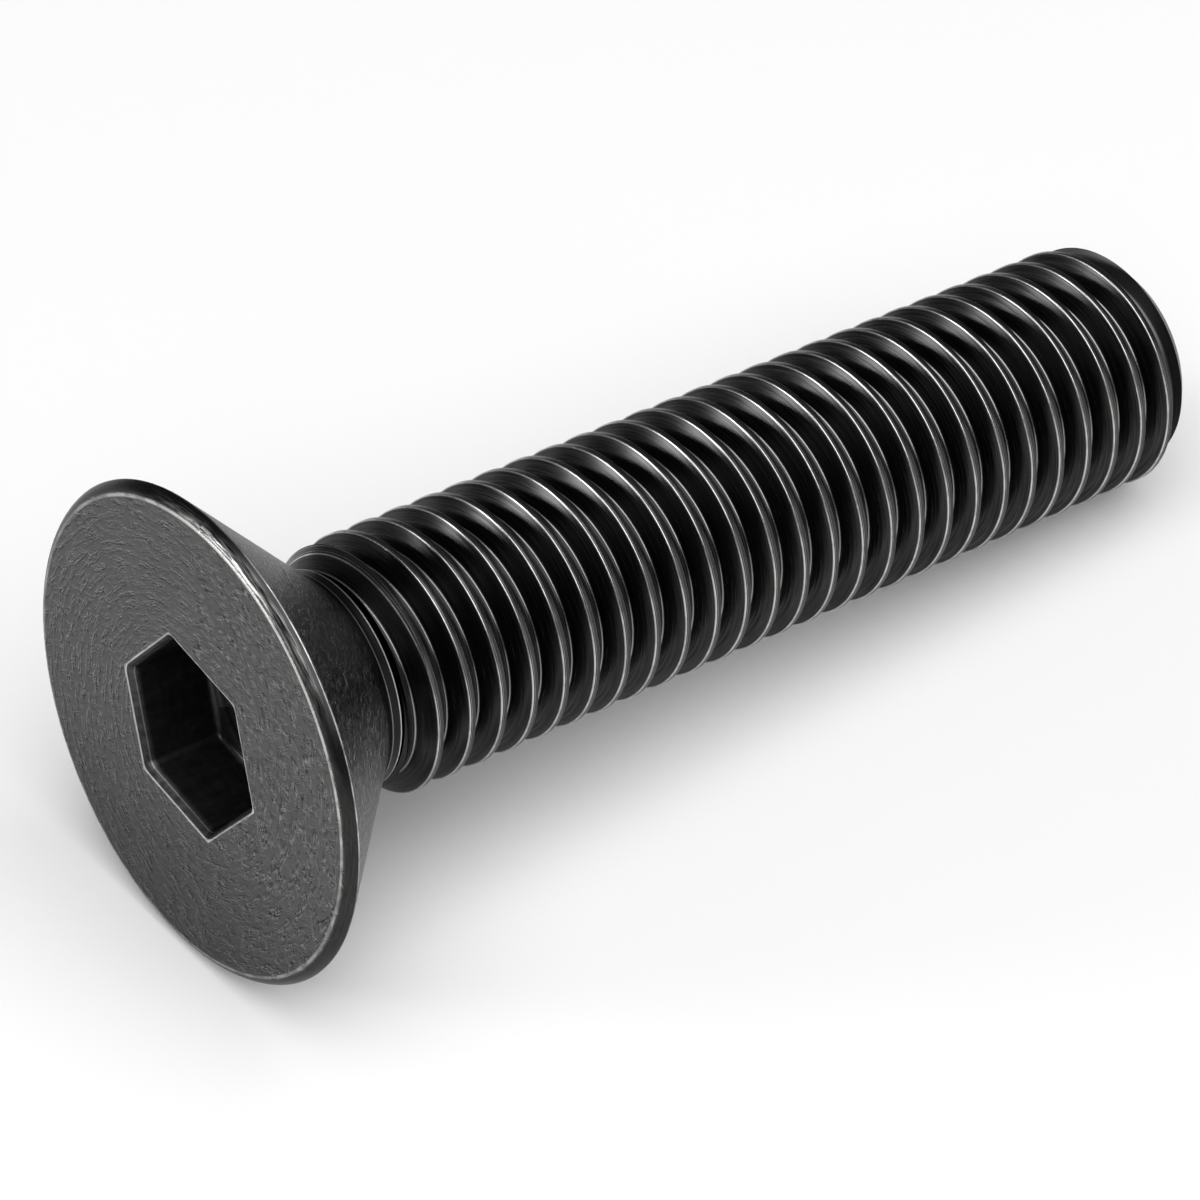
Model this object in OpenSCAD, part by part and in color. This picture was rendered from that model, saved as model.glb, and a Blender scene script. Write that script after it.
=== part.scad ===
// Countersunk screw with a hexagon socket: M12 x 1.75, 55 mm long, one turned
// and rolled piece of blackened steel. It lies as it comes to rest on a level
// top: on the rim of its head and on the last turns of its thread.
// Millimetres, +Z up. The head is at -X and the tip at +X.

/* [Which nodes to draw] */
// one named node, or all of them

/* [Thread] */
// nominal size, across the crests of the thread
thread_d = 12; // [10:0.5:14]
// distance from one crest to the next
pitch = 1.75; // [1.5:0.05:2.2]
// flat at the top of a crest, as a share of the pitch
crest_share = 0.16; // [0.1:0.01:0.2]
// flat at the bottom of the groove, as a share of the pitch
root_share = 0.25; // [0.2:0.01:0.3]
// depth of the groove, as a share of the pitch
depth_share = 0.613; // [0.5:0.001:0.65]
// turns over which the thread rises out of the neck
rise_turns = 0.6; // [0.4:0.05:1]
// distance from the neck's end to the start of that rise
rise_delay = 0.18; // [0.1:0.02:0.4]

/* [Length] */
// overall length, from the face of the head to the tip
overall_length = 55; // [45:0.5:70]
// height of the bevel around the tip
tip_bevel = 1.3; // [1.1:0.05:1.6]

/* [Head] */
// outer size of the head, at the foot of its bevelled rim
head_d = 23.4; // [22.5:0.1:24]
// height of the bevelled rim
rim_height = 0.56; // [0.4:0.02:0.8]
// how far the rim comes in at the face
rim_inset = 0.55; // [0.4:0.05:0.8]
// share of the rim bevel that bulges outward
rim_bulge = 0.12; // [0.05:0.01:0.2]
// angle taken in by the whole countersink
countersink_angle = 90; // [82:1:92]
// radius of the hollow corner between countersink and neck
neck_fillet = 0.9; // [0.5:0.1:1.2]
// plain neck between the hollow corner and the thread
neck_length = 0.25; // [0.2:0.05:0.6]
// how much thicker the neck is than the root of the thread, on the radius
neck_margin = 0.18; // [0.12:0.02:0.3]

/* [Hexagon socket] */
// size of the socket across its flats
socket_flats = 8; // [7:0.1:9]
// depth of the six flat walls
socket_depth = 4; // [3:0.1:4.8]
// slope of the drill point under the socket, from the level
drill_slope = 20; // [10:1:30]
// how far the drill point stays inside the flat walls
drill_margin = 0.18; // [0.1:0.02:0.4]
// width of the bevel around the mouth, measured across the face
mouth_bevel = 0.3; // [0.2:0.05:0.5]
// turn of the hexagon about the screw's own line
socket_turn = 39; // [0:1:60]

/* [Fineness] */
// flat facets of the thread in one turn
facets_per_turn = 24; // [16:4:28]
// facets of the round shapes
round_facets = 144; // [96:24:192]

/* [Hidden] */

// how far a cutting shape reaches past the face that it opens
over = 1;
// how far the last full crest stays short of the tip's bevel
crest_clear = 0.05;
// how far the root of the thread reaches back inside the head
root_overlap = 2;
// how far the head's own core stays inside the root of the thread
core_margin = 0.18;
// how far that core reaches past the neck
core_reach = 0.36;

steps = facets_per_turn;
step_angle = 360 / steps;

thread_r = thread_d / 2;
root_r = thread_r - depth_share * pitch;
neck_r = root_r + neck_margin;
head_r = head_d / 2;
face_r = head_r - rim_inset;
half_angle = countersink_angle / 2;
tip_r = thread_r - tip_bevel;

// the countersink ends where the arc of the hollow corner touches it, and the
// arc ends where it touches the neck
cone_run = (head_r - neck_r) / tan(half_angle);
fillet_reach = neck_fillet * tan(half_angle / 2);
fillet_end = rim_height + cone_run + fillet_reach;
fillet_r = neck_r + neck_fillet;
neck_end = fillet_end + neck_length;

// the screw rests on the foot of its rim and on a flat facet of the last full
// crest, so it doesn't roll
bevel_start = overall_length - tip_bevel;
last_crest = bevel_start - crest_clear;
facet_r = thread_r * cos(step_angle / 2);
rest_tilt = atan((head_r - facet_r) / (last_crest - rim_height));

// the origin is on the level top, under the middle of the whole
low_x = min(rim_height * cos(rest_tilt) - head_r * sin(rest_tilt), -face_r * sin(rest_tilt));
high_tip = overall_length * cos(rest_tilt) + tip_r * sin(rest_tilt);
high_crest = last_crest * cos(rest_tilt) + thread_r * sin(rest_tilt);
middle_x = (low_x + max(high_tip, high_crest)) / 2;
rest_height = head_r * cos(rest_tilt) + rim_height * sin(rest_tilt);

// one pitch of the thread: how far along it, and how high from root to crest
flank_share = (1 - crest_share - root_share) / 2;
profile = [
    [0, 1],
    [flank_share, 0],
    [flank_share + root_share, 0],
    [1 - crest_share, 1]
];
columns = len(profile);

// the thread starts inside the head, keeps step with the last crest, and goes
// on past the tip, where it is cut off
begin_limit = neck_end - 2 * pitch;
crest_turns = floor((last_crest - begin_limit) / pitch);
thread_first = last_crest - crest_turns * pitch;
thread_rows = (crest_turns + 2) * steps;
rise_first = neck_end + rise_delay;

// share of its full height that a crest has at one distance from the face
function rise(z) = min(1, max(0, (z - rise_first) / (rise_turns * pitch)));

// the corners of the facets stand half a facet to the sides of the line that
// faces down, so that a flat facet is under the screw
function row_point(r, row, z) = let (
        angle = (row + 0.5) * step_angle
    ) [r * cos(angle), r * sin(angle), z];

// distance from the face of one point of the profile in one row
function strip_z(row, share) = thread_first + pitch * (row / steps + share);

function strip_point(row, share, up) = let (
        z = strip_z(row, share)
    ) row_point(root_r + (thread_r - root_r) * up * rise(z), row, z);

// the end of each row is the start of the row one turn later, so that only the
// last turn needs end points of its own
edge_first = (thread_rows + 1) * columns;
base_first = edge_first + steps;
top_first = base_first + steps;
function strip_index(row, k) = k < columns
    ? row * columns + k
    : (row + steps <= thread_rows ? (row + steps) * columns : edge_first + row + steps - thread_rows - 1);
function base_index(i) = base_first + i % steps;
function top_index(i) = top_first + i % steps;

base_z = thread_first - root_overlap;
top_z = strip_z(thread_rows, 1) + pitch;
thread_points = concat(
    [for (row = [0 : thread_rows]) for (p = profile) strip_point(row, p[0], p[1])],
    [for (i = [1 : steps]) strip_point(thread_rows - steps + i, 1, 1)],
    [for (i = [0 : steps - 1]) row_point(root_r, i, base_z)],
    [for (i = [0 : steps - 1]) row_point(thread_r, i, top_z)]
);

// two triangles for each short stretch of a flank, a crest or a root
strip_faces = [
    for (row = [0 : thread_rows - 1])
        for (k = [0 : columns - 1])
            for (half = [0, 1])
                half == 0
                    ? [strip_index(row, k), strip_index(row, k + 1), strip_index(row + 1, k + 1)]
                    : [strip_index(row, k), strip_index(row + 1, k + 1), strip_index(row + 1, k)]
];
base_wall = [
    for (i = [0 : steps - 2])
        [base_index(i), strip_index(i, 0), strip_index(i + 1, 0), base_index(i + 1)]
];
base_seam = concat(
    [base_index(steps - 1), strip_index(steps - 1, 0)],
    [for (k = [columns : -1 : 0]) strip_index(0, k)],
    [base_index(0)]
);
base_cap = [for (i = [0 : steps - 1]) base_index(i)];
last_turn = thread_rows - steps;
top_seam = [
    strip_index(last_turn + 1, columns),
    strip_index(thread_rows, 0),
    strip_index(thread_rows, columns),
    top_index(0),
    top_index(1)
];
top_wall = [
    for (i = [1 : steps - 1])
        [strip_index(last_turn + i, columns), top_index(i), top_index(i + 1),
            strip_index(last_turn + i + 1, columns)]
];
top_step = [for (k = [0 : columns]) strip_index(thread_rows, k)];
top_cap = [for (i = [steps - 1 : -1 : 0]) top_index(i)];
thread_faces = concat(strip_faces, base_wall, [base_seam], [base_cap], [top_seam], top_wall, [top_step], [top_cap]);

// a right-hand thread of one start, longer than the screw at both ends
module thread_rod() {
    polyhedron(points = thread_points, faces = thread_faces, convexity = 10);
}

// what the tip's bevel and the end face leave of the rod
module tip_limit() {
    rotate_extrude($fn = round_facets)
        polygon([
            [0, base_z - over],
            [thread_r + over, base_z - over],
            [thread_r + over, bevel_start - over],
            [tip_r, overall_length],
            [0, overall_length]
        ]);
}

// the bevelled rim bulges a little between its two edges
rim_length = norm([rim_inset, rim_height]);
rim_steps = 4;
function rim_point(t) = let (
        bulge = 4 * rim_bulge * rim_length * t * (1 - t)
    ) [face_r + rim_inset * t + bulge * rim_height / rim_length,
        rim_height * t - bulge * rim_inset / rim_length];

fillet_steps = 6;
function fillet_point(t) = let (
        angle = 180 + half_angle * (1 - t)
    ) [fillet_r + neck_fillet * cos(angle), fillet_end + neck_fillet * sin(angle)];

head_outline = concat(
    [[0, 0]],
    [for (i = [0 : rim_steps]) rim_point(i / rim_steps)],
    [for (i = [0 : fillet_steps]) fillet_point(i / fillet_steps)],
    [[neck_r, neck_end], [root_r - core_margin, neck_end + core_reach], [0, neck_end + core_reach]]
);

// circumradius of the hexagon from its size across the flats
function corner_r(flats) = flats / 2 / cos(30);

// six flat walls, a bevel around the mouth and a shallow drill point
module socket_hollow() {
    mouth_flats = socket_flats + 2 * (mouth_bevel + over);
    drill_r = socket_flats / 2 - drill_margin;
    rotate([0, 0, socket_turn]) {
        translate([0, 0, -over])
            cylinder(r = corner_r(socket_flats), h = over + socket_depth, $fn = 6);
        translate([0, 0, -over])
            cylinder(r1 = corner_r(mouth_flats), r2 = corner_r(socket_flats), h = mouth_bevel + over, $fn = 6);
    }
    translate([0, 0, socket_depth - over])
        cylinder(r = drill_r, h = over, $fn = round_facets);
    translate([0, 0, socket_depth])
        cylinder(r1 = drill_r, r2 = 0, h = drill_r * tan(drill_slope), $fn = round_facets);
}

module head() {
    rotate_extrude($fn = round_facets)
        polygon(head_outline);
}

// the core of the thread starts inside the head, so the socket is cut last
module screw() {
    color([0.11, 0.11, 0.115])
        translate([-middle_x, 0, rest_height])
            rotate([0, 90 + rest_tilt, 0])
                difference() {
                    union() {
                        head();
                        intersection() {
                            thread_rod();
                            tip_limit();
                        }
                    }
                    socket_hollow();
                }
}

screw();
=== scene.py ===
# %% [markdown]
# # A countersunk screw
#
# The object is a countersunk screw with a hexagon socket: a flat head with a
# narrow bevelled rim, a cone that sinks into the work, and a shank that is
# threaded over its whole length. It is one piece of steel, blackened by
# oxidation, and it lies on its side on a white table.
#
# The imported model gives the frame: where the screw lies and how large it is.
# This file makes the same screw again with a finer thread and rounded edges,
# gives it a blackened finish that is worn bright along its edges, and lights
# it like a small studio.

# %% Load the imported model
import math
from math import radians

import bpy
from mathutils import Euler, Matrix, Vector


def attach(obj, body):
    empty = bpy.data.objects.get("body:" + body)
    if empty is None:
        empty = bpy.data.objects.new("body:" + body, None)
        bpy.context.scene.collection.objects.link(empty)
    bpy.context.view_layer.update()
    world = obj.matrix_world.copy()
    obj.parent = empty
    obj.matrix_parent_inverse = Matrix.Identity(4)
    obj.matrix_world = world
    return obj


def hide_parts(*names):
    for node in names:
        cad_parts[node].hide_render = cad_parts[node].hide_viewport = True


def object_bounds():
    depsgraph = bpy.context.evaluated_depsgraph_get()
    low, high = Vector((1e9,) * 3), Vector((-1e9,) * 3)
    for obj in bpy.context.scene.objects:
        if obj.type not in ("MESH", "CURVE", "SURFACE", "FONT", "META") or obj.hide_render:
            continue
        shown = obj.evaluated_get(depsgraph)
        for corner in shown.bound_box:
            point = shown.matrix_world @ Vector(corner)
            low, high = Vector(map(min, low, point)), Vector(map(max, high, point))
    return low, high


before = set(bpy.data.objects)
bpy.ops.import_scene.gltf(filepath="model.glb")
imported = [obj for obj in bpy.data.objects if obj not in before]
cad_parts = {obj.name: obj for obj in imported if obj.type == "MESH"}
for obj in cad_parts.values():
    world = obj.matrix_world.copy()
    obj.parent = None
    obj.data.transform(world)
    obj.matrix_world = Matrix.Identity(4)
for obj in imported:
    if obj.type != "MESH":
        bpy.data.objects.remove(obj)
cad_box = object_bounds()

print("packed model, lowest and highest corner in metres:", cad_box)

# %% [markdown]
# ## The sizes
#
# The thread, the head and the socket have the same sizes as in the packed
# model. The screw is first modelled upright, with the middle of the head's
# face at the origin and the tip above it. It could be modelled as it lies, but
# turned and threaded shapes are made around an upright line far more easily,
# and the finished screw can be laid down in one move.

# %% The sizes of the shank and the head, in metres
MM = 0.001

LENGTH = 55.0 * MM
THREAD_R = 6.0 * MM
PITCH = 1.75 * MM
CREST_WIDTH = 0.16 * PITCH
ROOT_WIDTH = 0.25 * PITCH
ROOT_R = THREAD_R - 0.613 * PITCH
TIP_BEVEL = 1.3 * MM
TIP_R = THREAD_R - TIP_BEVEL
BEVEL_START = LENGTH - TIP_BEVEL

HEAD_R = 11.7 * MM
RIM_HEIGHT = 0.56 * MM
CONE_SLOPE = radians(45)
NECK_MARGIN = 0.18 * MM
NECK_R = ROOT_R + NECK_MARGIN
NECK_HOLLOW = 0.9 * MM
NECK_LENGTH = 0.25 * MM

CONE_END = RIM_HEIGHT + (HEAD_R - NECK_R) / math.tan(CONE_SLOPE)
NECK_START = CONE_END + NECK_HOLLOW * math.tan(CONE_SLOPE / 2)
NECK_END = NECK_START + NECK_LENGTH
print("from the face, the neck ends at", round(NECK_END / MM, 2), "mm and the tip at", LENGTH / MM)

# %% [markdown]
# A head that is wider than its shank can't lie level. On a table the screw
# rests on the foot of its rim and on its last full crest, so its own line dips
# towards the tip. That tilt could be found by letting the screw fall, but it
# follows exactly from those two radii and the distance between them. The
# packed thread has flat facets that are turned by half a facet, so that one of
# them faces down. The thread here is shifted as far, to run in step with it.

# %% The tilt at rest
FACETS_PER_TURN = 24
CREST_CLEAR = 0.05 * MM
LAST_CREST = BEVEL_START - CREST_CLEAR - 0.5 / FACETS_PER_TURN * PITCH
TILT = math.atan((HEAD_R - THREAD_R) / (LAST_CREST - RIM_HEIGHT))
print("the screw's own line dips by", round(math.degrees(TILT), 2), "degrees")

# %% [markdown]
# ## Drawing an outline
#
# Every turned shape here starts as half of its outline, as on a lathe drawing.
# Real edges are never perfectly sharp, and a sharp edge catches no light, so
# each corner of an outline can be rounded. A Bevel modifier could do that on
# the finished screw, but here each corner has a radius of its own. So the
# corner is cut back on both sides and an arc is put in its place before
# anything is turned.

# %% Rounding the corners of an outline
def rounded(corners, steps=4):
    """Corners are (radius, height, rounding); gives points (radius, height)."""
    points = []
    last = len(corners) - 1
    for i, (r, z, rounding) in enumerate(corners):
        corner = Vector((r, z))
        if rounding == 0 or i in (0, last):
            points.append(corner)
            continue
        back = (Vector(corners[i - 1][:2]) - corner).normalized()
        ahead = (Vector(corners[i + 1][:2]) - corner).normalized()
        half_angle = back.angle(ahead) / 2
        to_centre = (back + ahead).normalized() * rounding / math.sin(half_angle)
        sweep = math.pi - 2 * half_angle
        side = math.copysign(1, back.x * ahead.y - back.y * ahead.x)
        start = back * rounding / math.tan(half_angle) - to_centre
        for k in range(steps + 1):
            angle = -side * sweep * k / steps
            turned = Vector((
                start.x * math.cos(angle) - start.y * math.sin(angle),
                start.x * math.sin(angle) + start.y * math.cos(angle),
            ))
            points.append(corner + to_centre + turned)
    return points


sample = rounded([(0, 0, 0), (1, 0, 0.3), (1, 1, 0)])
print("a square corner, rounded:", [(round(r, 2), round(z, 2)) for r, z in sample])

# %% [markdown]
# An outline is drawn as by hand. A plane is added and merged to a single
# point, and that point is extruded again and again, each time to the next
# point of the outline. An operator works on all that is selected, so before
# each one everything else is deselected.

# %% A chain of edges, extruded from one point
def deselect():
    if bpy.context.object and bpy.context.object.mode != "OBJECT":
        bpy.ops.object.mode_set(mode="OBJECT")
    bpy.ops.object.select_all(action="DESELECT")


def choose(piece):
    """Makes one piece the only one that operators work on."""
    deselect()
    piece.select_set(True)
    bpy.context.view_layer.objects.active = piece


def edit_all(piece):
    choose(piece)
    bpy.ops.object.mode_set(mode="EDIT")
    bpy.ops.mesh.select_all(action="SELECT")


def draw_outline(name, points):
    deselect()
    bpy.ops.mesh.primitive_plane_add(size=MM, location=(points[0].x, 0, points[0].y))
    piece = bpy.context.object
    piece.name = name
    piece.data.name = name
    edit_all(piece)
    bpy.ops.mesh.merge(type="CENTER")
    for here, there in zip(points, points[1:]):
        step = (there.x - here.x, 0, there.y - here.y)
        bpy.ops.mesh.extrude_vertices_move(TRANSFORM_OT_translate={"value": step})
    bpy.ops.object.mode_set(mode="OBJECT")
    bpy.ops.object.transform_apply(location=True, rotation=True, scale=True)
    return piece


print("outlines are drawn on the plane through the screw's own line")

# %% [markdown]
# A lathe turns an outline into a solid, and the Screw modifier does the same
# when it goes around once without climbing. Its last row lies on its first, so
# a weld merges the two and closes the shape. Each modifier is applied at once,
# because the next step works on the real points.

# %% Modifiers, welds and turning
WELD = 0.0005 * MM
TURNED_STEPS = 360


def finish_modifier(piece, kind, **settings):
    """Adds a modifier with these settings and applies it at once."""
    choose(piece)
    modifier = piece.modifiers.new(kind.lower(), kind)
    for key, value in settings.items():
        setattr(modifier, key, value)
    bpy.ops.object.modifier_apply(modifier=modifier.name)


def weld(piece):
    """Merges points that lie together, then turns every face outwards."""
    edit_all(piece)
    bpy.ops.mesh.remove_doubles(threshold=WELD)
    bpy.ops.mesh.normals_make_consistent(inside=False)
    bpy.ops.object.mode_set(mode="OBJECT")


def turn_round(piece):
    """Sweeps an outline once around the upright line, as a lathe would."""
    finish_modifier(piece, "SCREW", angle=radians(360), steps=TURNED_STEPS, render_steps=TURNED_STEPS)
    weld(piece)


def report(title, piece):
    """Prints how many triangles a piece has, and how many points lie on open edges."""
    piece.data.calc_loop_triangles()
    edit_all(piece)
    bpy.ops.mesh.select_all(action="DESELECT")
    bpy.ops.mesh.select_mode(type="VERT")
    bpy.ops.mesh.select_non_manifold()
    bpy.ops.object.mode_set(mode="OBJECT")
    loose = sum(vertex.select for vertex in piece.data.vertices)
    print(title, len(piece.data.loop_triangles), "triangles,", loose, "points on open edges")


print("points closer than", WELD / MM, "mm are merged")

# %% [markdown]
# ## The thread
#
# A rolled thread is one groove that winds around the rod. It could be cut with
# a long spiral, or made by moving the points of a cylinder. Here one side of
# the outline of a single pitch is drawn, from the middle of one crest to the
# middle of the next, with the crest's edges just rounded and a hollow groove.
# A Screw modifier carries it around and along at once, which keeps the shape
# of the groove exact. Each turn ends where the next one begins, so a weld
# joins them into one rod.

# %% One pitch, carried around and along
CREST_ROUNDING = 0.045 * MM
GROOVE_ROUNDING = 0.2 * MM
THREAD_ARC_STEPS = 3
FLANK_WIDTH = (PITCH - CREST_WIDTH - ROOT_WIDTH) / 2
TURN_STEPS = 120
FIRST_TURN = math.floor((LAST_CREST - CONE_END) / PITCH) + 1
ROD_START = LAST_CREST - CREST_WIDTH / 2 - FIRST_TURN * PITCH
TURNS = FIRST_TURN + 2

flank_end = CREST_WIDTH / 2 + FLANK_WIDTH
pitch_corners = [
    (THREAD_R, ROD_START, 0),
    (THREAD_R, ROD_START + CREST_WIDTH / 2, CREST_ROUNDING),
    (ROOT_R, ROD_START + flank_end, GROOVE_ROUNDING),
    (ROOT_R, ROD_START + PITCH - flank_end, GROOVE_ROUNDING),
    (THREAD_R, ROD_START + PITCH - CREST_WIDTH / 2, CREST_ROUNDING),
    (THREAD_R, ROD_START + PITCH, 0),
]
screw = draw_outline("screw_body", rounded(pitch_corners, THREAD_ARC_STEPS))
finish_modifier(screw, "SCREW", angle=radians(360), screw_offset=PITCH, iterations=TURNS,
                steps=TURN_STEPS, render_steps=TURN_STEPS)
weld(screw)
report("threaded rod:", screw)

# %% [markdown]
# The ends of that rod are ragged, because the first and the last turn stop in
# mid air. Two flat cuts take them off, and each cut is filled with one face.
# Both cuts lie just inside a whole turn, where they cross the thread cleanly.

# %% Cutting both ends of the rod flat
CUT_SHIFT = 0.02
ROD_CUT_LOW = ROD_START + (1 + CUT_SHIFT) * PITCH
ROD_CUT_HIGH = ROD_START + (TURNS - CUT_SHIFT) * PITCH
for height, lower in ((ROD_CUT_LOW, True), (ROD_CUT_HIGH, False)):
    edit_all(screw)
    bpy.ops.mesh.bisect(plane_co=(0, 0, height), plane_no=(0, 0, 1), use_fill=True,
                        clear_inner=lower, clear_outer=not lower, threshold=WELD / 100)
    bpy.ops.object.mode_set(mode="OBJECT")
weld(screw)
report("rod with flat ends:", screw)

# %% [markdown]
# On the real screw the thread rises out of the neck over about half a turn,
# and at the tip a bevel cuts it down. Each crest could be pulled down by hand,
# but both are turned shapes. So one turned blank holds them, and only what
# lies inside that blank is kept.

# %% The blank that limits the thread
RISE_START = NECK_END + 0.18 * MM
RISE_LENGTH = 0.6 * PITCH
BLANK_CLEAR = 0.3 * MM
BLANK_START = ROD_CUT_LOW + 0.2 * MM
BLANK_CORE = ROOT_R + 0.02 * MM
TIP_ROUNDING = 0.25 * MM
# a loop on each side of the rounded edge keeps the flats beside it evenly lit
TIP_SUPPORT = 0.14 * MM

rise_end = RISE_START + RISE_LENGTH * (1 + BLANK_CLEAR / (THREAD_R - ROOT_R))
blank_corners = [
    (0, BLANK_START, 0),
    (BLANK_CORE, BLANK_START, 0),
    (BLANK_CORE, RISE_START, 0),
    (THREAD_R + BLANK_CLEAR, rise_end, 0),
    (THREAD_R + BLANK_CLEAR, BEVEL_START - BLANK_CLEAR, 0),
    (TIP_R + TIP_SUPPORT, LENGTH - TIP_SUPPORT, 0),
    (TIP_R, LENGTH, TIP_ROUNDING),
    (TIP_R - TIP_SUPPORT, LENGTH, 0),
    (0, LENGTH, 0),
]
blank = draw_outline("blank", rounded(blank_corners))
turn_round(blank)
report("blank:", blank)


# %% Only what lies inside the blank
def combine(piece, other, operation):
    """Joins, cuts or keeps the common part, and then removes the other."""
    finish_modifier(piece, "BOOLEAN", object=other, operation=operation, solver="MANIFOLD")
    bpy.data.objects.remove(other, do_unlink=True)


combine(screw, blank, "INTERSECT")
report("thread with its bevelled tip:", screw)

# %% [markdown]
# ## The head
#
# The head is turned: a flat face, a rim that bulges a little between its two
# edges, the cone of the countersink, and a hollow corner that runs into a
# short neck. A cone primitive with bevels could stand for it, but the bulge
# and the hollow corner need their own points. So it is drawn as one outline,
# swept around and joined to the rod. Its core reaches a little into the rod.

# %% The outline of the rim
RIM_INSET = 0.55 * MM
RIM_BULGE = 0.12
RIM_STEPS = 6
FACE_R = HEAD_R - RIM_INSET


def rim_point(t):
    """A point on the rim: t is 0 at the face's edge and 1 at the cone."""
    length = math.hypot(RIM_INSET, RIM_HEIGHT)
    bulge = 4 * RIM_BULGE * length * t * (1 - t)
    return (FACE_R + RIM_INSET * t + bulge * RIM_HEIGHT / length,
            RIM_HEIGHT * t - bulge * RIM_INSET / length)


print("half way up the rim, in mm:", [round(c / MM, 3) for c in rim_point(0.5)])

# %% The outline of the head
HEAD_ARC_STEPS = 8
EDGE_ROUNDING = 0.06 * MM
NECK_ROUNDING = 0.04 * MM
CORE_MARGIN = 0.18 * MM
CORE_REACH = 0.36 * MM
# a loop on the flat side of a rounded edge keeps that side evenly lit
EDGE_SUPPORT = 0.4 * MM

head_corners = [(0, 0, 0), (FACE_R - EDGE_SUPPORT, 0, 0), (FACE_R, 0, EDGE_ROUNDING)]
head_corners += [(*rim_point(i / RIM_STEPS), 0) for i in range(1, RIM_STEPS)]
head_corners += [
    (HEAD_R, RIM_HEIGHT, EDGE_ROUNDING),
    (HEAD_R - EDGE_SUPPORT, RIM_HEIGHT + EDGE_SUPPORT, 0),
    (NECK_R, CONE_END, NECK_HOLLOW),
    (NECK_R, NECK_END, NECK_ROUNDING),
    (ROOT_R - CORE_MARGIN, NECK_END + CORE_REACH, 0),
    (0, NECK_END + CORE_REACH, 0),
]
head = draw_outline("head", rounded(head_corners, HEAD_ARC_STEPS))
turn_round(head)
report("head:", head)
combine(screw, head, "UNION")
report("thread and head together:", screw)

# %% [markdown]
# ## The hexagon socket
#
# The socket is punched: six flat walls with corners that are not quite sharp,
# a narrow bevel around the mouth, and a shallow hollow at the bottom left by
# the drill. It could be inset in the face and pushed in, but the turned face
# is made of hundreds of narrow triangles that meet in its middle. So the punch
# is modelled instead: a hexagon is extruded out through the face and widened
# at its outer end, its upright edges are bevelled round, and the result is cut
# out of the head.

# %% The punch, extruded and widened
SOCKET_FLATS = 8.0 * MM
SOCKET_DEPTH = 4.0 * MM
SOCKET_TURN = radians(39)
MOUTH_BEVEL = 0.3 * MM
MOUTH_REACH = 0.5 * MM


def hexagon_corner(flats):
    """Distance from the middle of a hexagon to a corner."""
    return flats / 2 / math.cos(radians(30))


deselect()
bpy.ops.mesh.primitive_circle_add(vertices=6, radius=hexagon_corner(SOCKET_FLATS), fill_type="NGON",
                                  location=(0, 0, SOCKET_DEPTH), rotation=(0, 0, SOCKET_TURN - radians(30)))
punch = bpy.context.object
punch.name = "punch"
edit_all(punch)
to_bevel = (0, 0, MOUTH_BEVEL - SOCKET_DEPTH)
bpy.ops.mesh.extrude_region_move(TRANSFORM_OT_translate={"value": to_bevel})
past_face = (0, 0, -MOUTH_BEVEL - MOUTH_REACH)
bpy.ops.mesh.extrude_region_move(TRANSFORM_OT_translate={"value": past_face})
widen = (SOCKET_FLATS + 2 * (MOUTH_BEVEL + MOUTH_REACH)) / SOCKET_FLATS
bpy.ops.transform.resize(value=(widen, widen, 1), center_override=(0, 0, 0))
bpy.ops.object.mode_set(mode="OBJECT")
bpy.ops.object.transform_apply(location=True, rotation=True, scale=True)
print("the punch is widened", round(widen, 3), "times at its outer end")

# %% The punch's upright edges rounded, and the socket cut
CORNER_ROUNDING = 0.28 * MM
CORNER_STEPS = 4
# an edge that climbs more than this is upright or slanted, and not level
CLIMB = 0.1 * MM
for edge in punch.data.edges:
    low, high = (punch.data.vertices[i].co for i in edge.vertices)
    edge.select = abs(low.z - high.z) > CLIMB
bpy.ops.object.mode_set(mode="EDIT")
bpy.ops.mesh.select_mode(type="EDGE")
bpy.ops.mesh.bevel(offset=CORNER_ROUNDING, segments=CORNER_STEPS, affect="EDGES")
bpy.ops.mesh.select_mode(type="VERT")
bpy.ops.object.mode_set(mode="OBJECT")
weld(punch)
report("punch:", punch)
combine(screw, punch, "DIFFERENCE")

# %% [markdown]
# Before the punch came the drill, and its point left a shallow cone under the
# six walls. A cone primitive could make it. Drawn as an outline and turned
# like the rest, it also gets a short collar that reaches out into the socket,
# so that the cut starts in the open.

# %% The hollow that the drill left
DRILL_R = SOCKET_FLATS / 2 - 0.18 * MM
DRILL_SLOPE = radians(20)
DRILL_START = SOCKET_DEPTH - 0.5 * MM
drill_corners = [
    (0, DRILL_START, 0),
    (DRILL_R, DRILL_START, 0),
    (DRILL_R, SOCKET_DEPTH, 0),
    (0, SOCKET_DEPTH + DRILL_R * math.tan(DRILL_SLOPE), 0),
]
drill = draw_outline("drill", rounded(drill_corners))
turn_round(drill)
combine(screw, drill, "DIFFERENCE")
report("with its socket:", screw)
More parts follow.
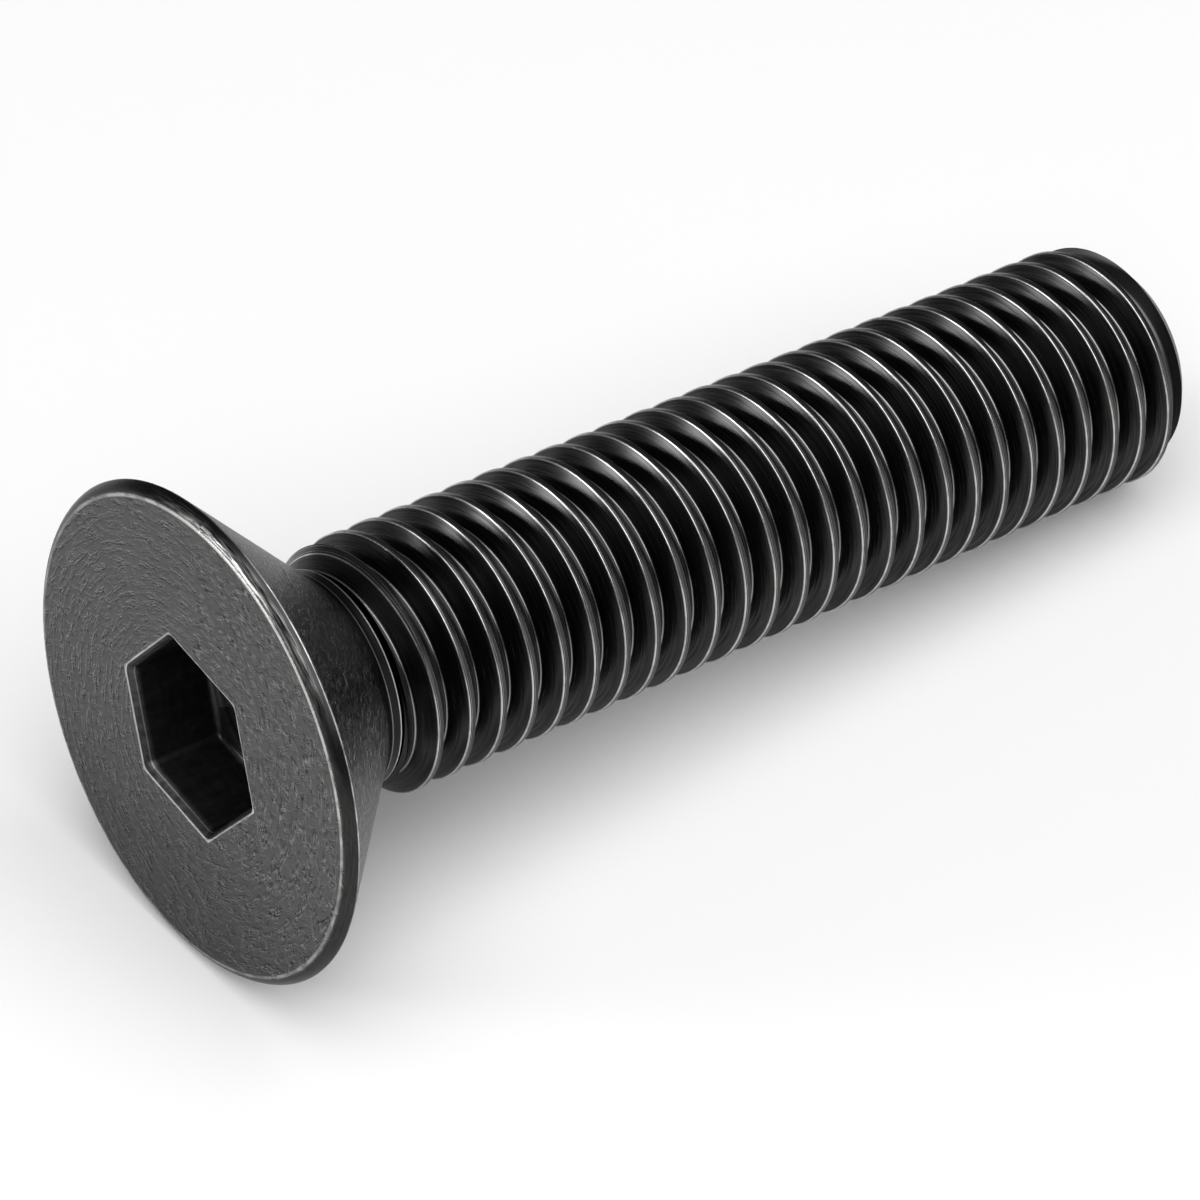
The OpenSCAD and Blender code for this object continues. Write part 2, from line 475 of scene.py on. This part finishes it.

# %% [markdown]
# ## Laying the screw down
#
# The screw is turned by a right angle and its tilt, moved over the packed
# model, and let down until its lowest point lies on the table. The object
# could keep that turn and that place, but they go into the mesh itself, so that
# the object stays at the origin, unturned. Faces that meet at a small angle are
# then shaded smoothly, and the sharper edges stay sharp.

# %% Turned, moved and let down
SMOOTH_ANGLE = radians(28)
screw.rotation_euler = (0, radians(90) + TILT, 0)
choose(screw)
bpy.ops.object.transform_apply(location=False, rotation=True, scale=False)
lowest = min(v.co.z for v in screw.data.vertices)
furthest = max(v.co.x for v in screw.data.vertices)
nearest = min(v.co.x for v in screw.data.vertices)
place = Vector(((cad_box[0][0] + cad_box[1][0] - furthest - nearest) / 2, 0, cad_box[0][2] - lowest))
screw.location = place
bpy.ops.object.transform_apply(location=True, rotation=False, scale=False)
bpy.ops.object.shade_smooth_by_angle(angle=SMOOTH_ANGLE)
print("the middle of the face is at", [round(c / MM, 3) for c in place], "mm")

# %% [markdown]
# ## Sums on surfaces
#
# A material is a small sum that Blender works out for every point of the
# surface. Its nodes could be placed one by one, but a long sum is hard to read
# that way. So a small class wraps the output of a node and lets sums be
# written as ordinary ones, and one function adds any other node.

# %% Values that change over a surface
def add_node(tree, kind, settings, inputs, output=0):
    """Adds a node: first its settings, then the values or links of its inputs."""
    node = tree.nodes.new(kind)
    for key, value in settings.items():
        setattr(node, key, value)
    for key, value in inputs.items():
        if isinstance(value, Wire):
            tree.links.new(value.socket, node.inputs[key])
        else:
            node.inputs[key].default_value = value
    return Wire(tree, node.outputs[output])


class Wire:
    """The output of a shader node, used in sums as a number is."""

    def __init__(self, tree, socket):
        self.tree = tree
        self.socket = socket

    def math(self, operation, *values, clamp=False):
        settings = {"operation": operation, "use_clamp": clamp}
        return add_node(self.tree, "ShaderNodeMath", settings, dict(enumerate(values)))

    def __add__(self, other):
        return self.math("ADD", self, other)

    def __sub__(self, other):
        return self.math("SUBTRACT", self, other)

    def __mul__(self, other):
        return self.math("MULTIPLY", self, other)

    def __truediv__(self, other):
        return self.math("DIVIDE", self, other)

    def __rsub__(self, other):
        return self.math("SUBTRACT", other, self)

    __radd__ = __add__
    __rmul__ = __mul__

    def fade(self, start, end):
        """1 where the value is at start, 0 where it is at end, smooth between."""
        settings = {"interpolation_type": "SMOOTHSTEP"}
        inputs = {"Value": self, "From Min": start, "From Max": end, "To Min": 1.0, "To Max": 0.0}
        return add_node(self.tree, "ShaderNodeMapRange", settings, inputs)

    def size(self):
        return self.math("ABSOLUTE", self)

    def near(self, value, full, width):
        """1 up to the distance full from a value, and 0 from the distance width."""
        return (self - value).size().fade(full, width)

    def most(self, other):
        return self.math("MAXIMUM", self, other)

    def least(self, other):
        return self.math("MINIMUM", self, other)

    def clamp(self):
        return self.math("ADD", self, 0.0, clamp=True)


print("wires add, subtract, multiply, divide and fade")

# %% [markdown]
# ## Where a point lies on the screw
#
# The turning marks run in circles around the screw's own line, and the worn
# edges follow the thread. Marks on a flat picture would have to be unrolled
# around both. So every finish first works out where a point lies: its distance
# along the screw from the face, its distance from the middle line, both in
# millimetres, and its angle around that line. A Mapping node turns the Object
# coordinates into the screw's own upright ones.

# %% Places on the screw, as wires
class Place:
    """Where a point of the surface lies, measured on the upright screw in mm."""

    def __init__(self, tree):
        self.tree = tree
        mapping = {
            "Vector": add_node(tree, "ShaderNodeTexCoord", {}, {}, "Object"),
            "Location": place,
            "Rotation": (0, radians(90) + TILT, 0),
            "Scale": (MM, MM, MM),
        }
        self.point = add_node(tree, "ShaderNodeMapping", {"vector_type": "TEXTURE"}, mapping)
        self.x, self.y, self.along = (
            add_node(tree, "ShaderNodeSeparateXYZ", {}, {"Vector": self.point}, axis) for axis in "XYZ")
        self.out = self.x.math("SQRT", self.x * self.x + self.y * self.y)
        self.angle = self.x.math("ARCTAN2", self.y, self.x)

    def vector(self, x, y, z):
        return add_node(self.tree, "ShaderNodeCombineXYZ", {}, {"X": x, "Y": y, "Z": z})

    def noise(self, vector, scale, detail=2.0, roughness=0.5, distortion=0.0):
        inputs = {"Vector": vector, "Scale": scale, "Detail": detail, "Roughness": roughness,
                  "Distortion": distortion}
        return add_node(self.tree, "ShaderNodeTexNoise", {}, inputs)

    def near_ring(self, out, along, full, width):
        """1 up to the distance full from a circle around the screw, 0 from width."""
        dr = self.out - out
        dz = self.along - along
        distance = dr.math("SQRT", dr * dr + dz * dz)
        return distance.fade(full, width)

    def toward(self, degrees, full, width):
        """1 on the side that faces this way, counted from the top to the front.

        It stays 1 for the angle full to either side, and is 0 from the angle width.
        """
        dot = self.x * -math.cos(radians(degrees)) + self.y * -math.sin(radians(degrees))
        return (dot / self.out).fade(math.cos(radians(full)), math.cos(radians(width)))

    def hexagon(self):
        """Distance from the middle line, measured across the socket's flats."""
        sides = []
        for degrees in (30, 90, 150):
            turn = SOCKET_TURN + radians(degrees)
            sides.append((self.x * math.cos(turn) + self.y * math.sin(turn)).size())
        return sides[0].most(sides[1]).most(sides[2])

    def thread_phase(self):
        """How far along one pitch a point lies, from 0 to 1, 0.5 on the crest."""
        turns = self.angle / (2 * math.pi)
        crest_middle = (LAST_CREST - CREST_WIDTH / 2) / MM
        share = (self.along - crest_middle) / (PITCH / MM) - turns
        return share.math("FRACT", share + 0.5)


print("places are measured from the middle of the face, in mm")

# %% [markdown]
# ## Blackened steel
#
# Black oxide is a thin dark skin on the steel. Head on, it reflects about a
# tenth of the light, as a dark metal would. At a glancing angle a perfect
# metal becomes a mirror, and this skin stays duller, so its glancing shine is
# tinted down. Where the edges rub, the skin is gone and bare steel shows.
#
# Two shaders could be mixed for the skin and the steel. One metal is enough,
# whose colour goes from black to steel along a mask of wear. Fine tool marks
# are added as a bump.

# %% The finish shared by all the surfaces
BLACK = (0.098, 0.097, 0.096, 1)
STEEL = (0.62, 0.62, 0.61, 1)
GLANCING_TINT = (0.75, 0.75, 0.75, 1)
# the sockets of a Mix node that hold colours
MIX_A, MIX_B, MIX_RESULT = 6, 7, 2


def show(tree, surface):
    """Makes a shader the one that the material's surface shows."""
    output = tree.nodes.new("ShaderNodeOutputMaterial")
    tree.links.new(surface.socket, output.inputs["Surface"])


def blackened(name, describe):
    """A material; describe gives (shade, wear, roughness, height) as wires."""
    material = bpy.data.materials.new(name)
    material.use_nodes = True
    tree = material.node_tree
    tree.nodes.clear()
    shade, wear, roughness, height = describe(Place(tree))
    dark = add_node(tree, "ShaderNodeMix", {"data_type": "RGBA", "blend_type": "MULTIPLY"},
                    {"Factor": 1.0, MIX_A: BLACK, MIX_B: shade}, MIX_RESULT)
    colour = add_node(tree, "ShaderNodeMix", {"data_type": "RGBA"},
                      {"Factor": wear.clamp(), MIX_A: dark, MIX_B: STEEL}, MIX_RESULT)
    bump = add_node(tree, "ShaderNodeBump", {}, {"Height": height, "Strength": 1.0, "Distance": MM})
    show(tree, add_node(tree, "ShaderNodeBsdfPrincipled", {}, {
        "Base Color": colour, "Metallic": 1.0, "Roughness": roughness, "Normal": bump,
        "Specular Tint": GLANCING_TINT}))
    return material


print("the skin reflects", BLACK[0], "and bare steel", STEEL[0])

# %% [markdown]
# ## The finish of the head
#
# The head was turned and then tumbled with other screws. Turning leaves fine
# rings, and tumbling leaves short wriggling scratches, some along the rings
# and some across the face. Each scratch could be a small mesh or a line in a
# picture. Here it is a thin line where a stretched noise passes its middle
# value, cut into short pieces by a second noise. It is raised in the bump,
# and its colour is painted light on one side and dark on the other, as
# painted light and shade.

# %% Marks of turning and tumbling
def worms(at, across, along, width, layer):
    """Short wriggling lines, 1 in the middle of a line, in these two directions."""
    value = at.noise(at.vector(across, along, layer), 1.0, 1.0, 0.4, 1.4)
    cut = at.noise(at.vector(across * 0.7, along * 0.7, layer + 5.0), 1.0, 0.0).fade(0.58, 0.46)
    return value.near(0.5, 0.02, width) * cut


def tumbled(at, profile, below_rim):
    """Height of the marks and their painted light and shade, some along the rings and some across."""
    arc = at.angle * at.out
    wide = at.x * -math.cos(radians(45)) + at.y * -math.sin(radians(45))
    tall = at.x * -math.cos(radians(45)) + at.y * math.sin(radians(45))
    # across and along the lines, their width, their layer of noise and depth
    ringed = (profile * (4.2 - 2.5 * below_rim), arc * (1.2 + 2.5 * below_rim), 0.15, 1.0, 1.0)
    free = (wide * 2.2, tall * 4.0, 0.14, 9.0, 0.7)
    height = 0.0
    painted_relief = 0.0
    for across, along, width, layer, depth in (ringed, free):
        line = worms(at, across, along, width, layer)
        # a shifted copy of each line paints its dark side: painted light and shade
        aside = worms(at, across + 0.19, along + 0.14, width, layer)
        height = line * depth + height
        painted_relief = (line - aside) * depth + painted_relief
    return height, painted_relief


print("scratches follow the rings and the face")

# %% [markdown]
# The skin is painted lighter and darker on parts of the head, as light and
# shade. The rim is painted darker, as shade, with streaks that run along it,
# and the hollow neck is painted nearly black as shade. The face and rim are
# painted darker towards their lower edge, as shade. The cone has a painted
# dark reflection high on its front, is painted lighter low down as a
# reflection, and is a little darker overall. Lamps could shade the cone like
# that, but they would change the thread and the face too, so this light and
# shade is painted into the skin.

# %% The parts of the head and their tone
# sides of the cone with a painted dark and a painted light reflection: the direction,
# and how far to either side of it the side is at its full and where it has faded, all in degrees
PAINTED_DARK_REFLECTION = (35, 6, 43)
PAINTED_LIGHT_REFLECTION = (98, 10, 48)


def head_parts(at):
    """Masks that are 1 on the rim, below the rim, and in the neck."""
    foot = RIM_HEIGHT / MM
    neck_start = NECK_START / MM
    rim = (1 - at.along.fade(0.03, 0.09)) * at.along.fade(foot - 0.03, foot + 0.06)
    below_rim = 1 - at.along.fade(foot, foot + 0.14)
    neck = 1 - at.along.fade(neck_start - 0.9, neck_start - 0.3)
    return rim, below_rim, neck


def head_tone_and_painted_light(at, rim, cone, neck, streaks):
    """How light the skin is on each part of the head, with painted light and shade."""
    painted_shade_low_face = (1 - cone) * at.x.fade(11.0, 0.0)
    # painted shade: the neck nearly black, the face and rim darker towards the lower edge; the cone a
    # little darker overall
    tone_and_shade = (1 - neck * 0.78) * (1 - painted_shade_low_face * 0.32 - cone * 0.12)
    # painted reflections on the cone: a dark band high on its front, a lighter one low down
    tone_and_shade = tone_and_shade * (1 - cone * at.toward(*PAINTED_DARK_REFLECTION) * 0.65 + cone * at.toward(*PAINTED_LIGHT_REFLECTION) * 0.5)
    # painted shade: the rim darker, with streaks along it
    return tone_and_shade * (1 - rim * (0.85 - streaks * 0.5))


print("the cone is darkest", PAINTED_DARK_REFLECTION[0], "degrees from the top")

# %% [markdown]
# Wear shows as bright lines along the edges: around the face, at the foot of
# the rim, at both ends of the neck and around the socket's mouth. They are
# broken here and there, and the side that was rubbed most is brightest. Such
# lines could be painted on by hand, but their places are known exactly: each
# is drawn by the distance from a circle or a hexagon.

# %% Wear on the head
# circles around the screw: radius and height, how far from the circle the line
# is at its full, and where it has faded
FACE_RING = (FACE_R / MM, 0.0, 0.04, 0.11)
FOOT_RING = (HEAD_R / MM, RIM_HEIGHT / MM, 0.02, 0.07)
NECK_RING = (NECK_R / MM, NECK_END / MM, 0.03, 0.08)


def head_wear(at, rim, streaks):
    """1 where bare steel shows on the head."""
    broken = 0.45 + 0.55 * at.noise(at.vector(at.x, at.y, 0.0), 0.9, 3.0).fade(0.60, 0.42)
    face_edge = at.near_ring(*FACE_RING) * broken.most(at.toward(20, 20, 50))
    face_edge = face_edge * (0.45 + 0.55 * at.toward(25, 20, 75))
    foot_edge = at.near_ring(*FOOT_RING) * broken * (0.25 + 0.75 * at.toward(40, 25, 60))
    neck_end = at.near_ring(*NECK_RING)
    neck_start = at.along.near(NECK_START / MM - 0.25, 0.01, 0.05)
    mouth_edge = at.hexagon() - (SOCKET_FLATS / 2 + MOUTH_BEVEL) / MM
    mouth = mouth_edge.fade(0.02, 0.07) * at.along.fade(0.005, 0.02) * broken
    rubbed = rim * at.toward(18, 8, 40) * at.along.fade(0.16, 0.42) * streaks.fade(0.75, 0.35)
    wear = face_edge.most(foot_edge).most(neck_end * 0.9).most(neck_start * 0.5)
    return wear.most(rubbed).most(mouth * 0.9)


print("worn circles have radii", [round(ring[0], 2) for ring in (FACE_RING, FOOT_RING, NECK_RING)], "mm")

# %% [markdown]
# All of this comes together in one finish. The shade of the skin is its tone,
# with the painted light and shade above, times scratches with their painted
# light and dark sides, fine rings and large faint patches. The scratches are
# strong in some places and weak in others, as tumbling leaves them, and on the
# cone they are partly worn through to the steel.

# %% The finish of the head
def head_finish(at):
    """The face, the rim and the cone: turned, then tumbled."""
    rim, below_rim, neck = head_parts(at)
    cone = below_rim * (1 - neck)
    profile = at.out - at.along
    height, painted_relief = tumbled(at, profile, below_rim)
    strength = 0.7 + at.noise(at.point, 1.1).fade(0.35, 0.65) * 0.6
    strength = strength * (1 - rim * 0.9) * (1 - neck)
    # painted light and shade: each scratch lit on one side and shaded on the other
    scratches = painted_relief.most(0.0) * 0.95 + painted_relief.least(0.0) * 0.55
    rings = at.noise(at.vector(profile * 16.0, at.angle * 1.5, 0.0), 1.0, 2.0) - 0.5
    streaks = at.noise(at.vector(at.along * 16.0, at.angle * 9.0, 3.0), 1.0, 2.0)
    patches = at.noise(at.point, 0.35) - 0.5
    shade = 0.96 + scratches * strength * (1.05 + below_rim * 0.3) + rings * 0.35 + patches * 0.3
    shade = shade * head_tone_and_painted_light(at, rim, cone, neck, streaks)
    wear = head_wear(at, rim, streaks).most(painted_relief * strength * cone * 0.26)
    roughness = 0.34 + patches * 0.06 - rim * 0.06
    return shade, wear, roughness, height * strength * (0.005 + cone * 0.009) + rings * 0.003


black_head = blackened("blackened_head", head_finish)
print(black_head.name, "has", len(black_head.node_tree.nodes), "nodes")

# %% [markdown]
# ## The finish of the thread
#
# The thread is rolled, which presses it smooth and leaves fine lines that run
# along it. Bright worn lines follow it too: a strong one on the crest's edge
# towards the head, two fine ones on the crest beside it, and a weaker one on
# its other edge. A weak bright line at the foot of the flank is a painted
# highlight, not wear. They could be separate thin meshes, but each lies at a
# fixed share of the pitch, so that share alone draws them all. At the tip they
# fade out, because the tip is turned and has rings instead. The root of the
# groove and the lower front side of the thread are painted darker as shade,
# and the tip is painted lighter as a soft highlight.

# %% The finish of the thread
CREST = 0.5
HALF_CREST = CREST_WIDTH / PITCH / 2
FLANK_FOOT = HALF_CREST + FLANK_WIDTH / PITCH


def thread_wear_and_painted_highlight(at, phase):
    """1 where bare steel shows on the thread, and along a painted highlight at the flank's foot."""
    head_edge = CREST - HALF_CREST
    worn = 0.75 + 0.25 * at.noise(at.point, 1.6, 2.0).fade(0.58, 0.40)
    wear = phase.near(head_edge, 0.006, 0.023) * worn
    wear = wear.most(phase.near(head_edge + 0.055, 0.003, 0.013) * worn * 0.40)
    wear = wear.most(phase.near(head_edge + 0.105, 0.002, 0.011) * 0.12)
    wear = wear.most(phase.near(CREST + HALF_CREST, 0.004, 0.016) * 0.35)
    # the line at the flank's foot is a painted highlight, drawn as bare steel
    wear = wear.most(phase.near(CREST - FLANK_FOOT, 0.004, 0.022) * 0.45)
    return wear.most(phase.near(CREST, HALF_CREST - 0.01, HALF_CREST + 0.01) * 0.03)


def thread_finish(at):
    """The thread: rolled smooth, with fine lines along it and a turned tip."""
    phase = at.thread_phase()
    tip = 1 - at.along.fade(BEVEL_START / MM - 0.7, BEVEL_START / MM)
    lines = at.noise(at.vector(phase * 46.0, at.x * 0.35 + at.along * 0.1, at.y * 0.35), 1.0, 2.0) - 0.5
    lines = lines * (1 - tip * 0.7)
    turned = (at.noise(at.vector(at.out * 14.0, at.angle * 0.5, 5.0), 1.0, 2.0) - 0.5) * tip
    root = 1 - phase.near(CREST, FLANK_FOOT, FLANK_FOOT + 0.03)
    # painted light and shade: the tip lighter, as a soft highlight, and the root of the groove darker, as
    # shade
    shade = (0.50 + 1.3 * lines + 0.8 * turned + 0.5 * tip) * (1 - root * (1 - tip) * 0.4)
    # painted shade: the thread darker on its lower front side
    shade = shade * (1 - at.toward(80, 20, 60) * 0.30)
    roughness = 0.26 + 0.08 * lines + 0.12 * tip
    return shade, thread_wear_and_painted_highlight(at, phase) * (1 - tip), roughness, lines * 0.004 + turned * 0.002


black_thread = blackened("blackened_thread", thread_finish)
print(black_thread.name, "has", len(black_thread.node_tree.nodes), "nodes")

# %% [markdown]
# ## The finish of the socket
#
# The punch left upright marks on the six walls, and the drill left rings at
# the bottom. The bevel around the mouth is bright where it meets the face, and
# the step at the bottom of the walls is worn in dots. Inside, the skin is
# painted darker than on the head, as shade, and lighter at the bottom. The
# socket could share the head's finish, but its marks run another way, so it
# has its own.

# %% The finish of the socket
def socket_finish(at):
    """The socket: punched, so it has upright marks, and painted dark inside as shade."""
    bevel_foot = MOUTH_BEVEL / MM
    wall_foot = SOCKET_DEPTH / MM
    bevel = at.along.fade(bevel_foot, bevel_foot + 0.05)
    bottom = 1 - at.along.fade(wall_foot - 0.06, wall_foot - 0.01)
    marks = at.noise(at.vector(at.x * 3.0, at.y * 3.0, at.along * 0.6), 1.0, 2.0) - 0.5
    rings = at.noise(at.vector(at.out * 9.0, at.along * 3.0, 0.0), 1.0, 2.0) - 0.5
    # painted shade: the walls darker than the head; the bottom lighter, with the drill's rings
    shade = 0.55 + bevel * 0.10 + marks * (0.4 + bevel * 0.8) + (0.5 + bottom * 2.5) * rings + bottom * 0.5
    mouth = at.along.fade(0.02, 0.05)
    inner = at.along.near(bevel_foot, 0.01, 0.04)
    step = at.along.near(wall_foot, 0.02, 0.06) * (SOCKET_FLATS / 2 / MM - at.hexagon()).fade(0.03, 0.08)
    dots = at.noise(at.point, 4.0, 1.0).fade(0.56, 0.44)
    wear = (mouth * 0.9).most(inner * 0.2).most(step * dots * 0.6)
    return shade, wear, 0.40 + 0.1 * marks, marks * 0.01


black_socket = blackened("blackened_socket", socket_finish)
print(black_socket.name, "has", len(black_socket.node_tree.nodes), "nodes")

# %% [markdown]
# ## Which finish goes where
#
# The screw is one mesh with three finishes, and each polygon of the mesh takes
# the one of the place where it lies. The screw could be split into three
# meshes instead, but then their edges would have to match. At the socket's
# mouth the place isn't enough, because the flat face of the head reaches right
# up to the bevel there. So a polygon that is level with that face and points
# straight out of it keeps the head's finish.

# %% Each face takes its finish
NEAR_SOCKET = hexagon_corner(SOCKET_FLATS) + 0.5 * MM
SOCKET_BOTTOM = SOCKET_DEPTH + 2 * MM
FACE_LAYER = 0.05 * MM
THREAD_START = NECK_END + 0.03 * MM
# the joins and cuts left an empty place for a finish, which comes out first
screw.data.materials.clear()
for finish in (black_head, black_thread, black_socket):
    screw.data.materials.append(finish)

upright = Vector((math.cos(TILT), 0, -math.sin(TILT)))
HEAD, THREAD, SOCKET = range(3)
totals = [0, 0, 0]
for polygon in screw.data.polygons:
    offset = polygon.center - place
    along = offset.dot(upright)
    out = (offset - along * upright).length
    flat_face = along < FACE_LAYER and polygon.normal.dot(upright) < -0.9
    if out < NEAR_SOCKET and along < SOCKET_BOTTOM and not flat_face:
        polygon.material_index = SOCKET
    elif along > THREAD_START:
        polygon.material_index = THREAD
    else:
        polygon.material_index = HEAD
    totals[polygon.material_index] += 1
print("faces of head, thread and socket:", totals)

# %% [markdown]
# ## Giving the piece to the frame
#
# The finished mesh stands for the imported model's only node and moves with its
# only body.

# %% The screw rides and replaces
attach(screw, "root")
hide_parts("screw")
print("screw_body stands for the node screw")

# %% [markdown]
# ## The table
#
# The photograph has an even white background and one soft shadow. The camera
# looks down so steeply that a table fills the whole picture. The table is matt
# and nearly white, and the lamps bring it close to full white. More light
# would make the screw too bright, so a very faint light of the table's own
# does the rest. Only the camera and reflections see that light, and the table
# keeps the screw's shadow.

# %% The table
TABLE_WIDTH = 3.0
TABLE_GLOW = 0.02
TABLE_WHITE = (0.92, 0.92, 0.92, 1)
deselect()
bpy.ops.mesh.primitive_plane_add(size=TABLE_WIDTH, location=(0, 0, 0))
floor = bpy.context.object
floor.name = "floor"
white = bpy.data.materials.new("white_table")
white.use_nodes = True
tree = white.node_tree
tree.nodes.clear()
matt = add_node(tree, "ShaderNodeBsdfDiffuse", {}, {"Color": TABLE_WHITE})
glow = add_node(tree, "ShaderNodeEmission", {}, {"Color": (1, 1, 1, 1), "Strength": 1.0})
from_camera, from_gloss, from_glass = (
    add_node(tree, "ShaderNodeLightPath", {}, {}, ray)
    for ray in ("Is Camera Ray", "Is Glossy Ray", "Is Transmission Ray"))
seen = from_camera.most(from_gloss).most(from_glass) * TABLE_GLOW
show(tree, add_node(tree, "ShaderNodeMixShader", {}, {"Fac": seen, 1: matt, 2: glow}))
floor.data.materials.append(white)
print("the table is", floor.dimensions.x, "m wide")

# %% [markdown]
# ## The lamps
#
# A large softbox over the front lights the table evenly and gives the soft
# shadow. Metal shows its lamps rather than its own colour, so a second, small
# softbox stands low behind the head. The flanks of the thread and the top of
# the rim mirror it as bright bands. A weak card at the front right and the
# light of the room keep the dark sides from going black. One bright sky could
# light all this too, but its reflections can't be placed.

# %% The lamps
# name, place, width and height in metres, and power in watts
LAMPS = [
    ("top_softbox", (-0.10, -0.34, 0.80), 1.2, 1.2, 11.95),
    ("low_softbox", (-0.78, 0.42, 0.29), 0.28, 0.22, 2.1),
    ("front_card", (0.45, -0.65, 0.20), 0.60, 0.34, 0.45),
]
LAMP_AIM = Vector((0, 0, 0.01))
ROOM_LIGHT = 0.12
for name, spot, width, height, power in LAMPS:
    data = bpy.data.lights.new(name, "AREA")
    data.shape = "RECTANGLE"
    data.size = width
    data.size_y = height
    data.energy = power
    light = bpy.data.objects.new(name, data)
    light.location = spot
    light.rotation_euler = (LAMP_AIM - Vector(spot)).to_track_quat("-Z", "Y").to_euler()
    bpy.context.scene.collection.objects.link(light)

world = bpy.data.worlds.new("studio")
bpy.context.scene.world = world
world.use_nodes = True
world.node_tree.nodes["Background"].inputs["Color"].default_value = (1, 1, 1, 1)
world.node_tree.nodes["Background"].inputs["Strength"].default_value = ROOM_LIGHT
print("lamps:", [lamp[0] for lamp in LAMPS])

# %% [markdown]
# ## The camera
#
# The camera looks down on the head from the front left, about 41 degrees
# above the table, through a long lens, as in the photograph. It could be
# pointed at the screw by a constraint, but its place and its angles were
# fitted to the outline in the photograph, so they are set as they are.

# %% The camera
CAMERA_SPOT = (-0.12729, -0.15637, 0.18019)
LOOK_DOWN = 40.983
HEADING = 51.79
ROLL = -0.21
camera_data = bpy.data.cameras.new("camera")
camera_data.sensor_width = 36.0
camera_data.lens = 172.65
camera_data.clip_start = 0.01
camera = bpy.data.objects.new("camera", camera_data)
camera.location = CAMERA_SPOT
aim = Euler((radians(90 - LOOK_DOWN), 0, radians(HEADING - 90))).to_matrix()
camera.rotation_euler = (aim @ Matrix.Rotation(radians(ROLL), 3, "Z")).to_euler()
bpy.context.scene.collection.objects.link(camera)
bpy.context.scene.camera = camera
bpy.context.scene.view_settings.view_transform = "Standard"
print("the camera looks down by", LOOK_DOWN, "degrees from", [round(c, 3) for c in camera.location])
